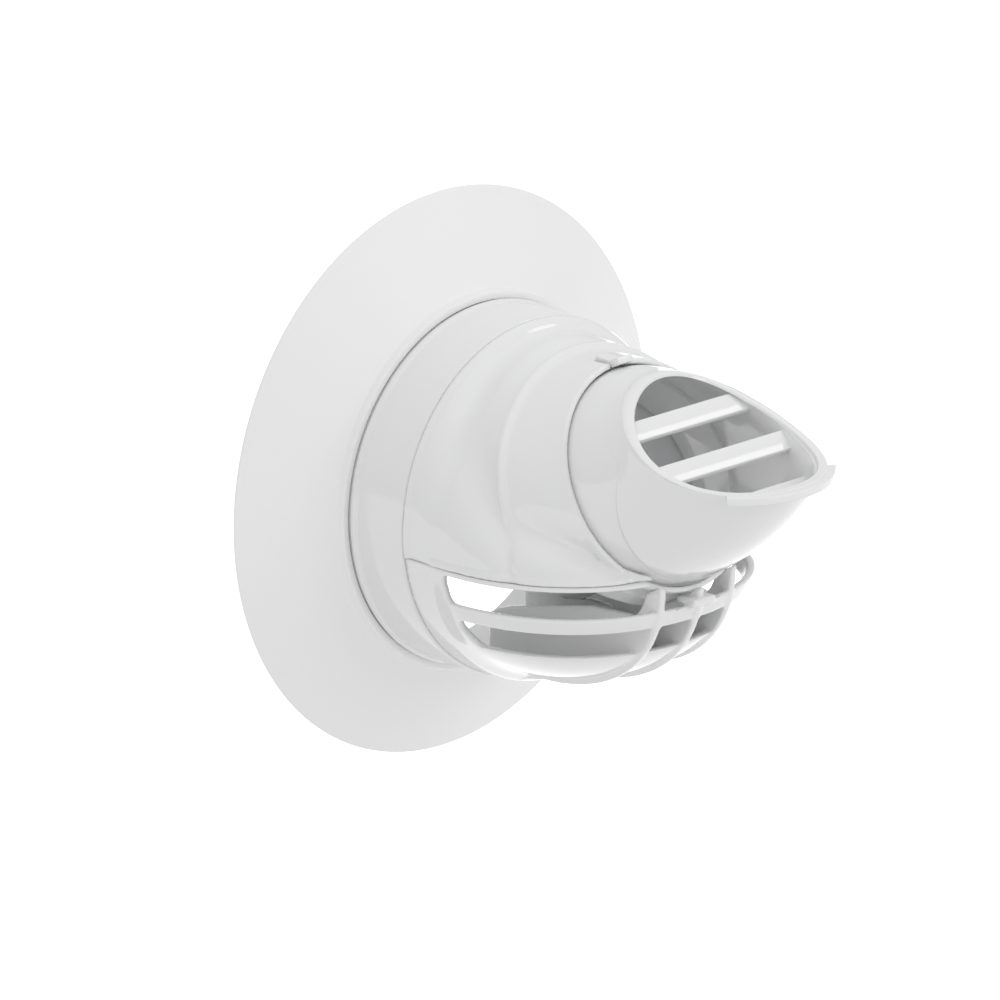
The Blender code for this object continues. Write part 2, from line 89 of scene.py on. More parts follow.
# Each slot: height and rear end of its upper edge, then of its lower edge
SLOTS = ((BRIM_LEVEL - 1.7, 50.4, -16.6, 51.8), (-21.4, 52.8, -30.0, 56.3))
SLOT_CORNER = 2.4
FIN_SPACING, FIN_THICKNESS, FIN_REAR, FIN_STEP, FIN_RIB = 14.0, 2.2, 33.4, 1.9, 6.2
CATCH_HALF, CATCH_LEVEL, CATCH_THICKNESS, CATCH_REACH, CATCH_LENGTH = 4.4, -15.8, 2.0, 99.5, 7.0

# Flue bend, seal and latch
INLET_RADIUS, INLET_REACH = 25, 36
FLUE_RADIUS, FLUE_WALL = 30, 1.6
GROOVE_DEPTH = 2.4
OUTLET_END, GROOVE_FRONT, GROOVE_REAR, OUTLET_START, FLARE_START = -4, -8, -13, -19, -24
LATCH_HALF, LATCH_HEIGHT, LATCH_REAR, LATCH_FRONT, LATCH_SLOPE = 3, 2.1, -5.0, 3.2, 0.58

# Mouthpiece
MOUTH_REACH, MOUTH_RADIUS, MOUTH_FRONT_HEIGHT, MOUTH_RISE = 110.0, 28.4, 25.2, 0.0065
MOUTH_WALL, MOUTH_RUN, MOUTH_LIP = 2.2, 0.4, 2.9    # the run is the gap inside the socket's rim
BOWL_LEAN, BOWL_CLIMB = 0.41, 0.91      # direction of the bowl's wall at the rim
SPIGOT_RADIUS, SPIGOT_WALL, SPIGOT_START, SPIGOT_END = 29.6, 1.6, -17, -1.6
STEP, STEP_DEPTH = 0.46, 0.6   # where the tube gives way to the bowl, and how far it stands back
STEP_CLIMB, STEP_TOP = 1.7, 0.66        # slant of that line, and where it levels out
SLAT_REACH, SLAT_HEIGHT, SLAT_STEP, SLAT_DROP = 93.2, 38.3, 14.7, 8.7
SLAT_WIDTH, SLAT_THICKNESS = 6, 1.2
DRIP_WIDTH, DRIP_DEPTH, DRIP_HALF_ANGLE = 2.4, 2.3, math.radians(45)


# Solids as fields: negative inside, in millimetres near the surface

def smooth(value):
    """A soft step from 0 to 1."""
    value = np.clip(value, 0.0, 1.0)
    return value * value * (3 - 2 * value)


def fuse(a, b, fillet):
    """Union with a fillet."""
    mix = np.clip(0.5 + 0.5 * (b - a) / fillet, 0, 1)
    return b * (1 - mix) + a * mix - fillet * mix * (1 - mix)


def carve(a, b, fillet):
    """What is left of a without b, with rounded edges."""
    return -fuse(-a, b, fillet)


def valley(a, b, z):
    """Union with a soft groove along the seam, deeper low down."""
    low, foot = smooth((34 - z) / 16), smooth((16 - z) / 12)
    depth = SEAM_DEPTH + SEAM_DEPTH_LOW * low + SEAM_DEPTH_FOOT * foot
    return fuse(a, b, SEAM_FILLET) + depth * np.exp(-((a - b) / SEAM_WIDTH) ** 2)


def lattice(low, high, step):
    """Coordinates (x, reach, height) of a grid's points."""
    return np.meshgrid(*(np.arange(a, b + step, step) for a, b in zip(low, high)), indexing="ij")


def even(field, step):
    """Scales a field so that it measures distance near its surface."""
    slopes = np.gradient(field, step)
    steep = np.sqrt(sum(s * s for s in slopes))
    return np.clip(field / np.maximum(steep, 0.05), -15, 15)


def polygon_field(points, a, b):
    """Signed distance to an outline, for grids a and b of its two coordinates."""
    best = np.full(a.shape, 1e9)
    inside = np.zeros(a.shape, bool)
    for (a0, b0), (a1, b1) in zip(points, points[1:] + points[:1]):
        da, db = a1 - a0, b1 - b0
        along = np.clip(((a - a0) * da + (b - b0) * db) / max(da * da + db * db, 1e-9), 0, 1)
        best = np.minimum(best, (a - a0 - along * da) ** 2 + (b - b0 - along * db) ** 2)
        crosses = (b0 > b) != (b1 > b)
        if abs(db) > 1e-9:
            inside ^= crosses & (a < a0 + (b - b0) * da / db)
    return np.sqrt(best) * np.where(inside, -1, 1)


def body_field(x, h, z, inset, height, power, level, blend):
    """The round body behind, blended into the hood's or the basket's swept section in front.

    A negative power makes the section hang down from the level.
    """
    share = np.clip((h - BODY_START) / (BODY_FRONT - inset - BODY_START), 0, 1)
    width = np.maximum((SHELL_RADIUS - inset) * (1 - share ** BRIM_POWER) ** (1 / BRIM_POWER), 0.6)
    rise = np.maximum(height(share), 0.6)
    up = np.maximum((z - level) * math.copysign(1, power), 0)
    power = abs(power)
    section = ((np.abs(x) / width) ** power + (up / rise) ** power) ** (1 / power) - 1
    circle = np.sqrt(x * x + z * z) / (SHELL_RADIUS - inset) - 1
    front = (h - (BODY_FRONT - inset)) / 20
    return np.maximum(circle * (1 - blend) + section * blend, front) * SHELL_RADIUS


def station(t):
    """Reach, height and tilt of the socket's section at t, from 0 at its root to 2 at its rim."""
    return [np.interp(t, (0, 1, 2), [s[i] for s in STATIONS]) for i in range(3)]


def funnel_field(x, h, z, inset, rim):
    """Radial distance to the socket, whose sections lean further the nearer they are to the rim."""
    low, high = np.zeros(h.shape), np.full(h.shape, 2.0)
    for _ in range(13):
        t = (low + high) / 2
        reach, height, tilt = station(t)
        ahead = (h - reach) * np.cos(tilt) + (z - height) * np.sin(tilt) > 0
        low, high = np.where(ahead, t, low), np.where(ahead, high, t)
    reach, height, tilt = station(t)
    rise = (z - height) * np.cos(tilt) - (h - reach) * np.sin(tilt)
    off = np.hypot(x, rise)
    upper = np.maximum(rise / np.maximum(off, 1e-6), 0) ** 2
    shape = np.where(t < 1, ROOT_RADIUS + (BAND_RADIUS - ROOT_RADIUS) * t,
                     BAND_RADIUS + (rim - BAND_RADIUS) * (t - 1) + inset * (t - 1))
    shape = shape + ROOT_RISE * upper * np.clip(1 - t, 0, 1)
    step = BAND_STEP * smooth((t - 0.92) / 0.11) * np.clip(2 - t, 0, 1)
    ridge = BAND_RIDGE * np.exp(-((t - 0.91) / 0.07) ** 2)
    return off - (shape - inset - step + ridge)


def axial(h, z):
    """Distance ahead of the socket's rim plane, and height above the swivel axis."""
    dh, dz = h - RIM_REACH, z - RIM_HEIGHT
    cos, sin = math.cos(AXIS_TILT), math.sin(AXIS_TILT)
    return dh * cos + dz * sin, dz * cos - dh * sin


def on_axis(distance):
    """Reach and height of the swivel axis's point at a distance ahead of the socket's rim."""
    return RIM_REACH + distance * math.cos(AXIS_TILT), RIM_HEIGHT + distance * math.sin(AXIS_TILT)


# From fields to meshes

def skin(name, field, low, step):
    """A smooth mesh of a field's surface, with one vertex in each cell that the surface crosses."""
    shape = np.array(field.shape) - 1
    slopes = np.stack(np.gradient(field, 1.0), -1)
    inside = field < 0
    total = int(np.prod(shape))
    sums = np.zeros((13, total))
    quads = []
    for axis in range(3):
        first = [slice(None)] * 3
        second = [slice(None)] * 3
        first[axis], second[axis] = slice(0, -1), slice(1, None)
        start = np.argwhere(inside[tuple(first)] != inside[tuple(second)])
        others = [i for i in range(3) if i != axis]
        start = start[np.all((start[:, others] > 0) & (start[:, others] < shape[others]), axis=1)]
        end = start.copy()
        end[:, axis] += 1
        f0, f1 = field[tuple(start.T)], field[tuple(end.T)]
        t = f0 / (f0 - f1)
        spot = start + t[:, None] * (end - start)
        normal = slopes[tuple(start.T)] * (1 - t[:, None]) + slopes[tuple(end.T)] * t[:, None]
        normal /= np.maximum(np.linalg.norm(normal, axis=1, keepdims=True), 1e-9)
        cells = []
        for a, b in ((0, 0), (-1, 0), (-1, -1), (0, -1)):
            cell = start.copy()
            cell[:, others[0]] += a
            cell[:, others[1]] += b
            index = np.ravel_multi_index(tuple(cell.T), shape)
            cells.append(index)
            local = spot - cell - 0.5
            push = np.sum(normal * local, axis=1)
            nx, ny, nz = normal.T
            values = (nx * nx, nx * ny, nx * nz, ny * ny, ny * nz, nz * nz, nx * push, ny * push, nz * push,
                      local[:, 0], local[:, 1], local[:, 2], np.ones(len(push)))
            for row, value in zip(sums, values):
                row += np.bincount(index, value, total)
        quad = np.stack(cells, 1)
        flip = (f0 < 0) ^ (axis == 1)
        quad[flip] = quad[flip][:, ::-1]
        quads.append(quad)
    quads = np.concatenate(quads)
    used = np.flatnonzero(sums[12])
    s = sums[:, used]
    centre = s[9:12] / s[12]
    pull = 0.12                # keeps a vertex near the middle of its crossings where they leave it free
    matrix = np.empty((len(used), 3, 3))
    for (i, j), row in zip(((0, 0), (0, 1), (0, 2), (1, 1), (1, 2), (2, 2)), s[:6]):
        matrix[:, i, j] = matrix[:, j, i] = row
    target = s[6:9] - np.einsum("nij,jn->in", matrix, centre)
    matrix += np.eye(3) * pull
    offset = np.linalg.solve(matrix, target.T[:, :, None])[:, :, 0]
    local = np.clip(centre.T + offset, -0.5, 0.5)
    cell = np.stack(np.unravel_index(used, shape), 1)
    grid_spot = cell + 0.5 + local
    points = np.array(low) + grid_spot * step
    place = np.full(total, -1)
    place[used] = np.arange(len(used))
    quads = place[quads]

    mesh = bpy.data.meshes.new(name)
    world = points * MM
    world[:, 1] *= -1
    mesh.from_pydata(world.tolist(), [], quads.tolist())
    mesh.update()
    mesh.shade_smooth()
    base = np.minimum(np.floor(grid_spot).astype(int), shape - 1)
    part = grid_spot - base
    normal = np.zeros((len(used), 3))
    for corner in range(8):
        pick = np.array([corner >> 2 & 1, corner >> 1 & 1, corner & 1])
        weight = np.prod(np.where(pick, part, 1 - part), axis=1)
        normal += slopes[tuple((base + pick).T)] * weight[:, None]
    size = np.linalg.norm(normal, axis=1, keepdims=True)
    normal /= np.maximum(size, 1e-9)
    normal[:, 1] *= -1
    # Where the field's slope and the mesh disagree, as at an edge, the mesh's own normal counts
    auto = np.array([v.vector[:] for v in mesh.vertex_normals])
    doubt = smooth((0.985 - np.sum(normal * auto, axis=1, keepdims=True)) / 0.05)
    normal = normal * (1 - doubt) + auto * doubt
    mesh.normals_split_custom_set_from_vertices(normal.tolist())
    made = bpy.data.objects.new(name, mesh)
    pieces.objects.link(made)
    return made


def point(x, reach, height):
    """A vertex in metres in the frame's own axes."""
    return Vector((x * MM, -reach * MM, height * MM))


def surface(name, rings, closed_rings=True, caps=False):
    """A mesh through rings of points, joined head to tail when closed_rings is set."""
    count = len(rings[0])
    faces = []
    for i in range(len(rings) if closed_rings else len(rings) - 1):
        a, b = i * count, (i + 1) % len(rings) * count
        faces += [(a + j, a + (j + 1) % count, b + (j + 1) % count, b + j) for j in range(count)]
    if caps:
        faces += [tuple(range(count))[::-1], tuple(range((len(rings) - 1) * count, len(rings) * count))]
    mesh = bpy.data.meshes.new(name)
    mesh.from_pydata([p for ring in rings for p in ring], [], faces)
    made = bpy.data.objects.new(name, mesh)
    pieces.objects.link(made)
    outward(mesh)
    mesh.shade_smooth()
    mesh.set_sharp_from_angle(angle=math.radians(40))
    return made


def outward(mesh):
    """Turns every face of a closed mesh outwards."""
    shape = bmesh.new()
    shape.from_mesh(mesh)
    bmesh.ops.recalc_face_normals(shape, faces=shape.faces)
    shape.to_mesh(mesh)
    shape.free()


def rounded(outline, radius, steps=3):
    """A closed outline with its corners rounded as far as their sides allow."""
    result = []
    count = len(outline)
    for i in range(count):
        before, here, after = (Vector(outline[(i + k) % count]) for k in (-1, 0, 1))
        a, b = before - here, after - here
        turn = math.pi - a.angle(b)
        if turn < math.radians(14):
            result.append(tuple(here))
            continue
        cut = min(radius * math.tan(turn / 2), a.length * 0.45, b.length * 0.45)
        p, q = here + a.normalized() * cut, here + b.normalized() * cut
        for k in range(steps + 1):
            s = k / steps
            result.append(tuple(p * (1 - s) ** 2 + here * 2 * s * (1 - s) + q * s * s))
    return result


def lathe(name, outline, reach=0.0, height=0.0, tilt=0.0, sides=192):
    """Turns a closed outline of (radius, distance) points about an axis that leaves the wall."""
    rings = []
    for i in range(sides):
        turn = math.tau * i / sides
        section = []
        for radius, distance in outline:
            side, up = radius * math.sin(turn), radius * math.cos(turn)
            section.append(point(side, reach + distance * math.cos(tilt) - up * math.sin(tilt),
                                 height + distance * math.sin(tilt) + up * math.cos(tilt)))
        rings.append(section)
    return surface(name, rings)


# Materials

def plastic(name, colour, roughness, shade, grain):
    """Moulded plastic: faint flow marks in its colour, uneven gloss, and fine ripple in the surface.

    Shade is how much darker the flow marks are, and grain is the ripple's strength.
    """
    made = bpy.data.materials.new(name)
    made.use_nodes = True
    nodes, links = made.node_tree.nodes, made.node_tree.links
    shader = nodes["Principled BSDF"]
    shader.inputs["IOR"].default_value = 1.49
    place = nodes.new("ShaderNodeTexCoord")
    flow = nodes.new("ShaderNodeTexNoise")
    flow.inputs["Scale"].default_value = 9
    flow.inputs["Detail"].default_value = 4
    tint = nodes.new("ShaderNodeMixRGB")
    tint.inputs[1].default_value = (*(c * (1 - shade) for c in colour), 1)
    tint.inputs[2].default_value = (*colour, 1)
    links.new(place.outputs["Object"], flow.inputs["Vector"])
    links.new(flow.outputs["Fac"], tint.inputs[0])
    dust = nodes.new("ShaderNodeTexNoise")
    dust.inputs["Scale"].default_value = 140
    dust.inputs["Detail"].default_value = 6
    gloss = nodes.new("ShaderNodeMapRange")
    gloss.inputs["To Min"].default_value = roughness * 0.8
    gloss.inputs["To Max"].default_value = roughness * 1.25
    links.new(place.outputs["Object"], dust.inputs["Vector"])
    links.new(dust.outputs["Fac"], gloss.inputs["Value"])
    links.new(gloss.outputs["Result"], shader.inputs["Roughness"])
    links.new(tint.outputs["Color"], shader.inputs["Base Color"])
    ripple = nodes.new("ShaderNodeTexNoise")
    ripple.inputs["Scale"].default_value = 260
    ripple.inputs["Detail"].default_value = 3
    bump = nodes.new("ShaderNodeBump")
    bump.inputs["Strength"].default_value = grain
    bump.inputs["Distance"].default_value = 0.0004
    links.new(place.outputs["Object"], ripple.inputs["Vector"])
    links.new(ripple.outputs["Fac"], bump.inputs["Height"])
    links.new(bump.outputs["Normal"], shader.inputs["Normal"])
    return made


def dress(piece, body, nodes, surface_material):
    """Gives a piece its material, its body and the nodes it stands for."""
    piece.data.materials.clear()
    piece.data.materials.append(surface_material)
    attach(piece, body)
    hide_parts(*nodes)


# Pieces

def make_rosette():
    """A shallow dish with a cuff that slides on the collar."""
    hub = COLLAR_RADIUS + FIT
    cuff = hub + CUFF_WIDTH
    web = HUB_REACH - 2.0
    outline = [(hub, HUB_REACH), (cuff - 0.1, HUB_REACH), (cuff + 0.35, web), (cuff + 3.2, web - 1.6),
               (ROSETTE_RADIUS - 0.7, 0.95), (ROSETTE_RADIUS, 0.5), (ROSETTE_RADIUS, 0),
               (ROSETTE_RADIUS - ROSETTE_RIM, 0), (cuff + 0.2, web - 2.1),
               (cuff - 1.0, HUB_REACH - HUB_DEPTH), (hub, HUB_REACH - HUB_DEPTH)]
    return lathe("rosette", rounded(outline, 0.6), sides=256)


def make_collar():
    """A sleeve with a bead in front of the rosette and a neck that the hood and the basket lap."""
    neck = SHELL_RADIUS - SHELL_WALL - FIT
    neck_end = COLLAR_REACH + NECK_LENGTH
    bead = HUB_REACH + FIT
    bead_end = bead + COLLAR_BEAD_LENGTH
    crest = COLLAR_RADIUS + COLLAR_BEAD
    outline = [(neck - NECK_WALL, neck_end), (neck, neck_end), (neck, COLLAR_REACH),
               (COLLAR_RADIUS, COLLAR_REACH), (COLLAR_RADIUS, bead_end), (crest, bead_end - 0.7),
               (crest, bead + 0.5), (COLLAR_RADIUS, bead), (COLLAR_RADIUS, 0), (COLLAR_BORE, 0),
               (COLLAR_BORE, COLLAR_STOP), (neck - NECK_WALL, COLLAR_STOP)]
    return lathe("collar", rounded(outline, 0.8), sides=256)


def make_hood():
    """The upper half of the body with the socket for the mouthpiece."""
    low, high = HOOD_BOX
    x, h, z = lattice(low, high, FINE)
    shoulder = np.clip((h - SHOULDER_START) / (BODY_START - SHOULDER_START), 0, 1)
    blend = 0.5 * smooth(shoulder) + 0.5 * (1 - (1 - shoulder) ** 2)

    def body(inset):
        def top(share):
            return (HOOD_HEIGHT - inset) * np.maximum(1 - share ** HOOD_FALL, 0) ** HOOD_FALL_END
        return even(body_field(x, h, z, inset, top, HOOD_POWER, BRIM_LEVEL, blend), FINE)

    ahead, rise = axial(h, z)
    off = np.hypot(x, rise)
    line = BRIM_BAND_RISE * smooth((z - BRIM_LEVEL - BRIM_BAND) / 0.4) * smooth((h - 42) / 6)
    bead = HOOD_BEAD * (1 - smooth((h - HOOD_BEAD_END) / 0.9))
    dome = body(0) + line - bead
    funnel = np.maximum(funnel_field(x, h, z, 0, RIM_BORE + RIM_WALL), ahead)
    outer = even(valley(dome, funnel, z), FINE)
    funnel = funnel_field(x, h, z, SHELL_WALL, RIM_BORE)
    inner = even(valley(body(SHELL_WALL), funnel, z), FINE)
    field = carve(outer, inner, 0.5)
    field = np.maximum(field, BRIM_LEVEL - z)
    lip = np.abs(off - RIM_BORE - RIM_WALL / 2) - RIM_WALL / 2
    lip = np.maximum(lip, np.abs(ahead + LIP_LENGTH / 2) - LIP_LENGTH / 2)
    field = fuse(field, lip, 0.5)
    field = carve(field, np.maximum(off - RIM_BORE, -ahead - LIP_LENGTH - 0.2), 0.4)
    field = np.maximum(field, COLLAR_REACH + FIT - h)
    notch = np.maximum(np.abs(x) - LATCH_HALF - FIT, np.abs(ahead - NOTCH_MIDDLE) - NOTCH_HALF)
    notch = np.maximum(notch, -rise)
    field = carve(field, notch, 0.3)
    return skin("hood", field, low, FINE)


def make_basket():
    """The lower half of the body: a bowl with two rows of slots, three fins and a catch in front."""
    low, high = BASKET_BOX
    x, h, z = lattice(low, high, FINE)
    top = BRIM_LEVEL - FIT
    start, length = BASKET_BLEND
    blend = smooth((h - start) / length)

    def body(inset):
        def depth(share):
            return (BASKET_DEPTH - inset) * (1 - share ** KEEL_POWER) ** (1 / KEEL_POWER)
        return even(body_field(x, h, z, inset, depth, -BASKET_POWER, top, blend), FINE)

    shell = carve(body(0), body(SHELL_WALL), 0.3)
    shell = np.maximum(shell, COLLAR_REACH + FIT - h)
    flat_h, flat_z = h[0], z[0]
    for upper, upper_rear, lower, lower_rear in SLOTS:
        outline = [(130, upper), (upper_rear, upper), (lower_rear, lower), (130, lower)]
        slot = polygon_field([tuple(p) for p in rounded(outline, SLOT_CORNER, 5)], flat_h, flat_z)
        shell = carve(shell, np.broadcast_to(slot, shell.shape), 0.5)
    for side in (-1, 0, 1):
        middle = side * FIN_SPACING
        outline = polygon_field(fin_outline(middle), flat_h, flat_z)
        fin = carve(np.broadcast_to(outline, shell.shape), FIN_THICKNESS / 2 - np.abs(x - middle), 0.4)
        shell = fuse(shell, fin, 0.9)
    tongue = np.maximum(np.abs(z - CATCH_LEVEL) - CATCH_THICKNESS / 2,
                        np.abs(h - CATCH_REACH) - CATCH_LENGTH / 2)
    shell = fuse(shell, np.maximum(np.abs(x) - CATCH_HALF, tongue), 0.5)
    ahead, rise = axial(h, z)
    off = np.hypot(x, rise)
    shell = carve(shell, np.maximum(off - RIM_BORE - RIM_WALL - FIT, -ahead - 16), 0.3)
    shell = np.maximum(shell, -flue_field(x, z, ahead, off))
    shell = np.maximum(shell, z - top)
    return skin("basket", shell, low, FINE)


def flue_field(x, z, ahead, off):
    """Space of the flue bend with its gap: the spigot, then three lengths round the swivel axis."""
    inlet = INLET_RADIUS + FIT
    outlet = FLUE_RADIUS + FLUE_WALL + FIT
    end = -OUTLET_END - FIT
    field = np.maximum(np.hypot(x, z) - inlet, ahead + 34)
    field = np.minimum(field, np.maximum(off - inlet, np.maximum(ahead + end, -ahead - 45)))
    field = np.minimum(field, np.maximum(off - outlet, np.maximum(ahead + end, -ahead + OUTLET_START)))
    return np.minimum(field, np.maximum(off - outlet - GROOVE_DEPTH, np.maximum(ahead + 6.5, -ahead - 14)))


def fin_outline(x):
    """Side view of a fin: its upper edge carries the flue, and its front is a rib."""
    length = (1 - abs(x / SHELL_RADIUS) ** BRIM_POWER) ** (1 / BRIM_POWER)
    front = BODY_START + (BODY_FRONT - BODY_START) * length
    squash = (1 - (abs(x) / SHELL_RADIUS) ** BASKET_POWER) ** (1 / BASKET_POWER)
    top = BRIM_LEVEL - 2 * FIT
    if x:
        outline = [(FIN_REAR, -31.4), (37.4, -29.3), (41.7, -27.8), (55.1, -24.7), (72.7, -20.6), (81, -20),
                   (88.2, -19.8)]
        for i in range(1, 7):
            turn = math.pi / 2 * i / 6
            outline.append((front - FIN_RIB - 7 * (1 - math.sin(turn)), top - 3 - 10 * math.cos(turn)))
        outline += [(front - FIN_RIB, top), (front, top)]
    else:
        outline = [(FIN_REAR, -27.4), (INLET_REACH, -25.3), (45, -21), (55, -12), (front, -12)]
    for i in range(1, 25):
        turn = math.pi / 2 * i / 25
        across, down = math.cos(turn) ** (2 / KEEL_POWER), math.sin(turn) ** (2 / KEEL_POWER)
        outline.append((BODY_START + (front - BODY_START) * across,
                        BRIM_LEVEL - FIT - (BASKET_DEPTH * squash + FIN_STEP) * down))
    clear = COLLAR_REACH + NECK_LENGTH + FIT
    neck = SHELL_RADIUS - SHELL_WALL - NECK_WALL - 2 * FIT
    rear_level = -math.sqrt(SHELL_RADIUS ** 2 - x ** 2)
    neck_level = -math.sqrt(neck ** 2 - (abs(x) + FIN_THICKNESS / 2) ** 2)
    return outline + [(45, rear_level + 0.8), (clear + 2, rear_level + 0.5), (clear, rear_level + 2),
                      (clear, neck_level), (FIN_REAR, neck_level)]


def mouth_height(reach):
    """Height of the mouth's rim, which curves up towards its rear."""
    behind = MOUTH_REACH + MOUTH_RADIUS - reach
    return MOUTH_FRONT_HEIGHT + MOUTH_RISE * behind * behind


def mouth_ring(share, inset, lip, count=160, step=False):
    """Section of the mouthpiece, from the socket (share 0) to the mouth's rim (share 1).

    With a step, the round tube behind a slanting line (share STEP) is a little smaller.
    """
    start_reach, start_height = on_axis(SPIGOT_END)
    radius = RIM_BORE - MOUTH_RUN - inset
    points = []
    for i in range(count):
        turn = math.tau * i / count
        side, rise = math.sin(turn), math.cos(turn)
        s, dent = share, 0.0
        if step:
            line = min(STEP * math.exp(STEP_CLIMB * rise), STEP_TOP)
            s = share ** (math.log(line) / math.log(STEP))
            fade = 1 - float(smooth((rise + 0.05) / 0.45))
            dent = 0.05 + fade * STEP_DEPTH * min(share / STEP, 1)
            dent *= 1 - float(smooth((share - STEP) / 0.03))
        s2, s3 = s * s, s ** 3
        rim = MOUTH_RADIUS - lip * (1 + 0.5 * max(rise, 0) ** 2)
        a = Vector((radius * side, start_reach - radius * rise * math.sin(AXIS_TILT),
                    start_height + radius * rise * math.cos(AXIS_TILT)))
        b = Vector((rim * side, MOUTH_REACH - rim * rise, mouth_height(MOUTH_REACH - MOUTH_RADIUS * rise)))
        length = (b - a).length
        leave = Vector((0, math.cos(AXIS_TILT), math.sin(AXIS_TILT))) * length
        bowl = (1 - rise) / 2
        arrive = Vector((BOWL_LEAN * side, -BOWL_LEAN * rise, BOWL_CLIMB)) * bowl
        arrive = Vector((0, 0.99, 0.15)) * (1 - bowl) + arrive
        arrive = arrive.normalized() * length
        spot = (a * (2 * s3 - 3 * s2 + 1) + leave * (s3 - 2 * s2 + s)
                + b * (3 * s2 - 2 * s3) + arrive * (s3 - s2))
        outwards = Vector((side, -rise * math.sin(AXIS_TILT), rise * math.cos(AXIS_TILT)))
        points.append(spot - outwards * dent)
    return points


def ring(reach, height, radius, tilt, count=160):
    """A circle whose axis leaves the wall and is raised by tilt."""
    points = []
    for i in range(count):
        turn = math.tau * i / count
        up = radius * math.cos(turn)
        points.append(Vector((radius * math.sin(turn), reach - up * math.sin(tilt),
                              height + up * math.cos(tilt))))
    return points


def axis_rings(profile, count=160):
    """Circles round the swivel axis, from (distance ahead of the socket's rim, radius) pairs."""
    return [ring(*on_axis(distance), radius, AXIS_TILT, count) for distance, radius in profile]


def make_mouthpiece():
    """Spigot, tube, bowl and rim in one closed surface, joined by the slats and the drip lip."""
    rings = axis_rings([(SPIGOT_START, SPIGOT_RADIUS - 0.5), (SPIGOT_START + 0.8, SPIGOT_RADIUS),
                        (SPIGOT_END - 0.2, SPIGOT_RADIUS), (SPIGOT_END, SPIGOT_RADIUS + 0.3)])
    shares = [0, 0.003, 0.01, 0.025, 0.05] + [0.09 + 0.05 * i for i in range(6)] + [0.38, 0.41, 0.435, 0.45]
    shares += [STEP + 0.006 * i for i in range(6)] + [0.5, 0.52, 0.55] + [0.59 + 0.04 * i for i in range(9)]
    shares += [0.935, 0.96, 0.98, 0.992]
    rings += [mouth_ring(s, 0, 0, step=True) for s in shares]
    for lip, drop in ((0, 0.25), (0.3, 0), (2.4, 0), (2.75, 0.3), (MOUTH_LIP, 0.9)):
        rings.append([p - Vector((0, 0, drop)) for p in mouth_ring(1, 0, lip)])
    inner = [0.97, 0.94, 0.9, 0.85] + [0.78 - 0.08 * i for i in range(9)] + [0.07, 0]
    rings += [mouth_ring(s, MOUTH_WALL, MOUTH_LIP) for s in inner]
    bore = SPIGOT_RADIUS - SPIGOT_WALL
    rings += axis_rings([(SPIGOT_END, bore), (SPIGOT_START + 0.5, bore), (SPIGOT_START, bore + 0.3)])
    mouth = surface("mouthpiece", [[point(*p) for p in r] for r in rings])
    join(mouth, make_slats() + [make_drip_lip()])
    return mouth


def make_slats():
    """Three slats that slope down to the front and end inside the mouth's wall."""
    wall = np.array([p for s in np.linspace(0.3, 1, 90) for p in mouth_ring(s, MOUTH_WALL / 2, 1.4)[:81]])
    slope = math.sqrt(0.5)
    across, deep = SLAT_WIDTH * slope, SLAT_THICKNESS * slope
    slats = []
    for i in range(3):
        reach, height = SLAT_REACH + SLAT_STEP * i, SLAT_HEIGHT - SLAT_DROP * i
        outline = [(reach, height), (reach + across, height - across),
                   (reach + across - deep, height - across - deep - 0.55),
                   (reach - deep - 0.43, height - deep - 0.43)]
        outline = rounded(outline, 0.4)
        halves = [wall[np.argmin((wall[:, 1] - a) ** 2 + (wall[:, 2] - b) ** 2), 0] for a, b in outline]
        rows = []
        for k in np.linspace(-1, 1, 9):
            rows.append([point(half * k, a, b) for half, (a, b) in zip(halves, outline)])
        slats.append(surface("slat", rows, False, True))
    return slats


def make_drip_lip():
    """A lip along the front of the mouth's rim."""
    inner, outer = MOUTH_RADIUS - 0.8, MOUTH_RADIUS + DRIP_WIDTH
    rows = []
    for i in range(49):
        turn = math.pi + DRIP_HALF_ANGLE * (i - 24) / 24
        top = mouth_height(MOUTH_REACH - MOUTH_RADIUS * math.cos(turn)) - 0.25
        section = [(inner, top), (outer, top), (outer, top - DRIP_DEPTH), (inner, top - DRIP_DEPTH)]
        rows.append([point(r * math.sin(turn), MOUTH_REACH - r * math.cos(turn), b)
                     for r, b in rounded(section, 0.45)])
    return surface("drip", rows, False, True)


def join(target, others):
    """Moves other pieces' meshes into one."""
    shape = bmesh.new()
    for piece in [target] + others:
        shape.from_mesh(piece.data)
    shape.to_mesh(target.data)
    shape.free()
    for piece in others:
        bpy.data.objects.remove(piece)
    target.data.shade_smooth()
    target.data.set_sharp_from_angle(angle=math.radians(38))


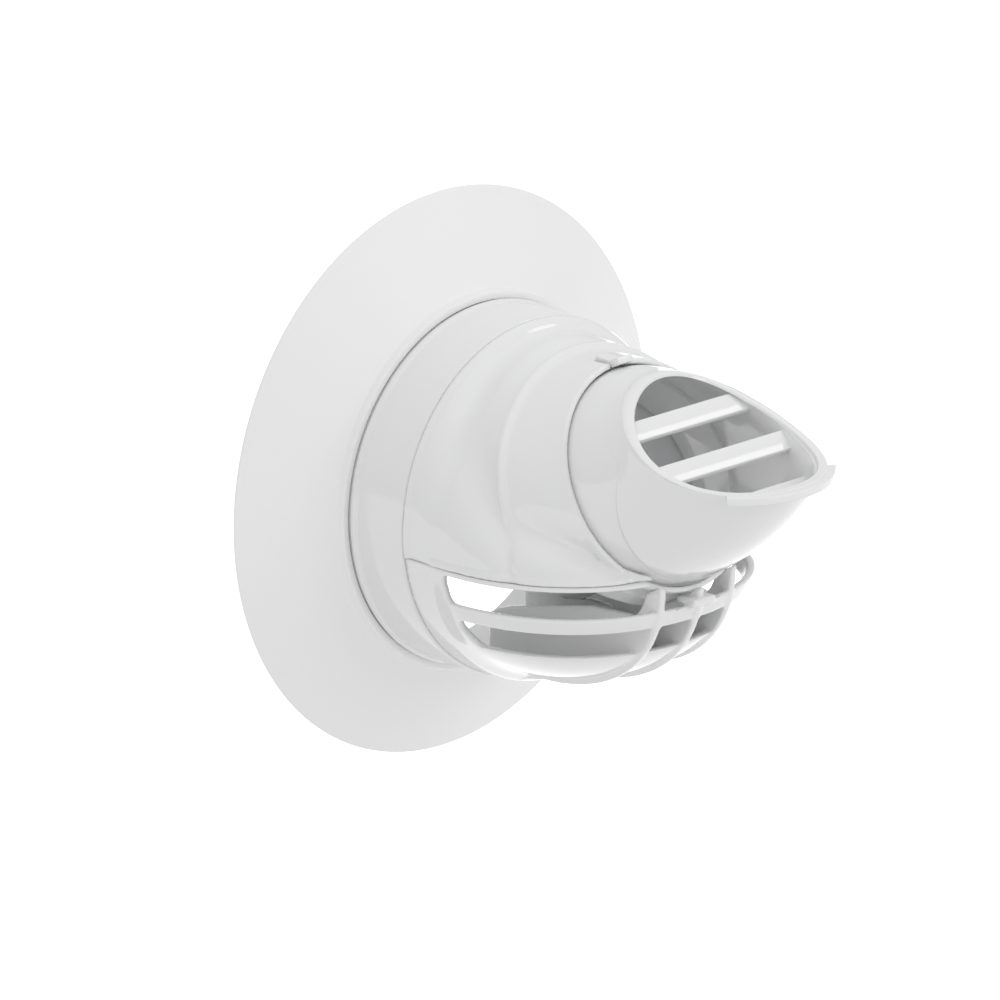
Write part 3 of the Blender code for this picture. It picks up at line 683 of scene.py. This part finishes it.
def make_flue():
    """A bend with a spigot for the flue pipe and a socket with a groove for the seal."""
    corner = RIM_REACH - RIM_HEIGHT / math.tan(AXIS_TILT)
    slope = math.tan(AXIS_TILT / 2)
    count = 96

    def mitre(radius):
        points = []
        for i in range(count):
            turn = math.tau * i / count
            up = radius * math.cos(turn)
            points.append(Vector((radius * math.sin(turn), corner - up * slope, up)))
        return points

    groove = FLUE_RADIUS + GROOVE_DEPTH
    outlet, crest = FLUE_RADIUS + FLUE_WALL, FLUE_RADIUS + FLUE_WALL + GROOVE_DEPTH
    bore = INLET_RADIUS - FLUE_WALL
    outside = [ring(INLET_REACH, 0, INLET_RADIUS - 0.5, 0, count),
               ring(INLET_REACH + 0.5, 0, INLET_RADIUS, 0, count), mitre(INLET_RADIUS)]
    outside += axis_rings([(FLARE_START, INLET_RADIUS), (OUTLET_START, outlet),
                           (GROOVE_REAR - FLUE_WALL, outlet), (GROOVE_REAR - 0.6, crest),
                           (GROOVE_FRONT + 0.6, crest), (GROOVE_FRONT + FLUE_WALL, outlet),
                           (OUTLET_END - 0.2, outlet), (OUTLET_END, outlet - 0.2)], count)
    inside = [ring(INLET_REACH, 0, bore, 0, count), mitre(bore)]
    inside += axis_rings([(FLARE_START, bore), (OUTLET_START, FLUE_RADIUS), (GROOVE_REAR, FLUE_RADIUS),
                          (GROOVE_REAR, groove), (GROOVE_FRONT, groove), (GROOVE_FRONT, FLUE_RADIUS),
                          (OUTLET_END, FLUE_RADIUS)], count)
    return surface("flue", [[point(*p) for p in r] for r in outside + inside[::-1]])


def make_seal():
    """A ring in the flue's groove, with a lip towards the mouthpiece's spigot."""
    outside, lip = FLUE_RADIUS + GROOVE_DEPTH - FIT, SPIGOT_RADIUS + FIT
    outline = [(lip + 0.8, 4.7), (outside, 4.7), (outside, FIT), (lip + 0.8, FIT), (lip, 1.5), (lip, 2.7)]
    return lathe("seal", rounded(outline, 0.4), *on_axis(GROOVE_REAR), AXIS_TILT, 96)


def make_latch():
    """The tongue that reaches across the gap at the top of the socket."""
    cos, sin = math.cos(AXIS_TILT), math.sin(AXIS_TILT)
    inner, outer = RIM_BORE, RIM_BORE + LATCH_HEIGHT
    climb = -LATCH_REAR * LATCH_SLOPE
    profile = [(LATCH_REAR, inner + climb), (LATCH_REAR, outer + climb), (0, outer), (LATCH_FRONT, outer),
               (LATCH_FRONT, inner), (0, inner)]
    side_view = [(RIM_REACH + d * cos - r * sin, RIM_HEIGHT + d * sin + r * cos) for d, r in profile]
    side_view = rounded(side_view, 0.6, 5)
    flank = LATCH_HALF - 0.15
    rows = [[point(x, a, b) for a, b in side_view] for x in (-LATCH_HALF, -flank, 0, flank, LATCH_HALF)]
    centre = sum(rows[2], Vector()) / len(rows[2])
    # The two outer rows shrink, so that the tongue's flanks are rounded
    for row in (rows[0], rows[-1]):
        for p in row:
            p.y, p.z = centre.y + (p.y - centre.y) * 0.95, centre.z + (p.z - centre.z) * 0.86
    return surface("latch", rows, False, True)


pieces = bpy.data.collections.new("pieces")
bpy.context.scene.collection.children.link(pieces)

shell_plastic = plastic("shell_plastic", (0.86, 0.862, 0.865), 0.07, 0.012, 0.02)
rosette_plastic = plastic("rosette_plastic", (0.9, 0.9, 0.9), 0.42, 0.015, 0.08)
flue_plastic = plastic("flue_plastic", (0.84, 0.845, 0.85), 0.3, 0.03, 0.08)
seal_rubber = plastic("seal_rubber", (0.02, 0.02, 0.02), 0.7, 0.3, 0.3)

dress(make_rosette(), "rosette", ["wall_rosette"], rosette_plastic)
dress(make_collar(), "terminal", ["duct_collar"], shell_plastic)
dress(make_hood(), "terminal", ["hood_shell"], shell_plastic)
dress(make_basket(), "terminal", ["grille_basket"], shell_plastic)
dress(make_flue(), "terminal", ["flue_bend"], flue_plastic)
dress(make_seal(), "terminal", ["outlet_seal"], seal_rubber)
dress(make_mouthpiece(), "mouth", ["outlet_mouthpiece"], shell_plastic)
dress(make_latch(), "terminal", ["outlet_latch"], shell_plastic)


# Stage

FLOOR_HALF, FLOOR_LEVEL = 12, -0.35
floor_mesh = bpy.data.meshes.new("floor")
corners = [(x * FLOOR_HALF, y * FLOOR_HALF, FLOOR_LEVEL) for x, y in ((-1, -1), (1, -1), (1, 1), (-1, 1))]
floor_mesh.from_pydata(corners, [], [(0, 1, 2, 3)])
floor = bpy.data.objects.new("floor", floor_mesh)
bpy.context.scene.collection.objects.link(floor)
floor_material = bpy.data.materials.new("floor")
floor_material.use_nodes = True
floor_shader = floor_material.node_tree.nodes["Principled BSDF"]
floor_shader.inputs["Base Color"].default_value = (0.8, 0.8, 0.8, 1)
floor_shader.inputs["Roughness"].default_value = 0.9
floor_shader.inputs["Emission Color"].default_value = (1, 1, 1, 1)
floor_shader.inputs["Emission Strength"].default_value = 0.9
floor_mesh.materials.append(floor_material)
floor.visible_diffuse = False

world = bpy.data.worlds.new("studio")
bpy.context.scene.world = world
world.use_nodes = True
sky = world.node_tree.nodes
background = sky["Background"]
direction = sky.new("ShaderNodeTexCoord")
split = sky.new("ShaderNodeSeparateXYZ")
height = sky.new("ShaderNodeMapRange")
height.inputs["From Min"].default_value = -1
ramp = sky.new("ShaderNodeValToRGB")
ramp.color_ramp.elements[0].position = 0.0
ramp.color_ramp.elements[0].color = (0.66, 0.66, 0.66, 1)
ramp.color_ramp.elements[1].position = 1.0
ramp.color_ramp.elements[1].color = (0.84, 0.84, 0.84, 1)
middle = ramp.color_ramp.elements.new(0.5)
middle.color = (0.6, 0.6, 0.6, 1)
world.node_tree.links.new(direction.outputs["Generated"], split.inputs[0])
world.node_tree.links.new(split.outputs["Z"], height.inputs["Value"])
world.node_tree.links.new(height.outputs["Result"], ramp.inputs[0])
world.node_tree.links.new(ramp.outputs["Color"], background.inputs["Color"])
background.inputs["Strength"].default_value = 1.08


def lamp(name, spot, target, size, power):
    """A round lamp that faces a target."""
    data = bpy.data.lights.new(name, "AREA")
    data.shape = "DISK"
    data.size = size
    data.energy = power
    made = bpy.data.objects.new(name, data)
    bpy.context.scene.collection.objects.link(made)
    made.location = spot
    made.rotation_euler = (Vector(target) - Vector(spot)).to_track_quat("-Z", "Y").to_euler()
    return made


lamp("key", (-0.9, -1.4, 1.6), (0, -0.05, 0), 1.4, 1.5).visible_glossy = False
lamp("low", (-1.7, -1.5, -0.2), (0, -0.07, -0.03), 1.0, 2).visible_glossy = False
lamp("front_low", (0.29, -2.1, 0.53), (0, -0.05, 0), 0.55, 2.2)
lamp("front_middle", (0.88, -1.65, 0.92), (0, -0.05, 0), 0.55, 2.2)
lamp("front_high", (1.47, -1.05, 1.25), (0, -0.05, 0), 0.55, 2.2)

camera_data = bpy.data.cameras.new("camera")
camera_data.lens = 381.5
camera_data.sensor_width = 36
camera_data.clip_end = 50
camera = bpy.data.objects.new("camera", camera_data)
bpy.context.scene.collection.objects.link(camera)
right = Vector((0.70542, -0.70879, 0))
up = Vector((0.21286, 0.21185, 0.95384))
back = right.cross(up)
turn = Matrix((right, up, back)).transposed().to_4x4()
camera.matrix_world = Matrix.Translation((-2.0187, -2.0319, 0.8926)) @ turn
bpy.context.scene.camera = camera
bpy.context.scene.view_settings.view_transform = "Standard"
